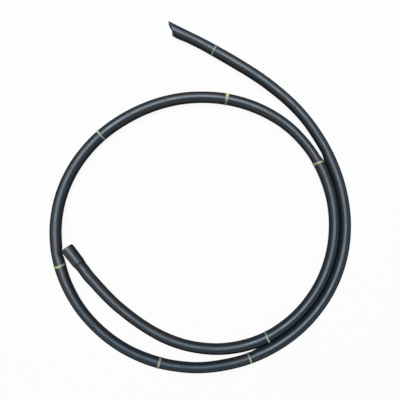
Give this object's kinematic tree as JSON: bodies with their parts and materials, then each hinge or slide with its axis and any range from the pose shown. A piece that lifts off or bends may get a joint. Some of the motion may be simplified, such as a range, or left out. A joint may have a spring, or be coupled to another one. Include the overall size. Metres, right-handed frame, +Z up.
{
  "type": "soaker hose",
  "caption": "Black porous soaker hose lying flat in an open loop, with one end cut on a bevel, a push-on coupling cuff on the other, and narrow pale marker bands.",
  "frame": {"origin": "centre of the loop's footprint, on the surface that the hose lies on", "axes": "+Z is up, away from that surface; +Y points across the loop towards the bevel-cut end, along the longest side of the footprint"},
  "size_m": [0.4349, 0.5084, 0.019],
  "materials": {
    "hose": "satin, fine-grained porous rubber",
    "cuff": "satin, smooth moulded rubber",
    "band": "pale yellow-green plastic tape"
  },
  "bodies": {
    "root": {"hose_tube": "hose", "coupling_cuff": "cuff", "marker_band_1": "band", "marker_band_2": "band", "marker_band_3": "band", "marker_band_4": "band", "marker_band_5": "band", "marker_band_6": "band", "marker_band_7": "band", "marker_band_8": "band"}
  },
  "joints": []
}
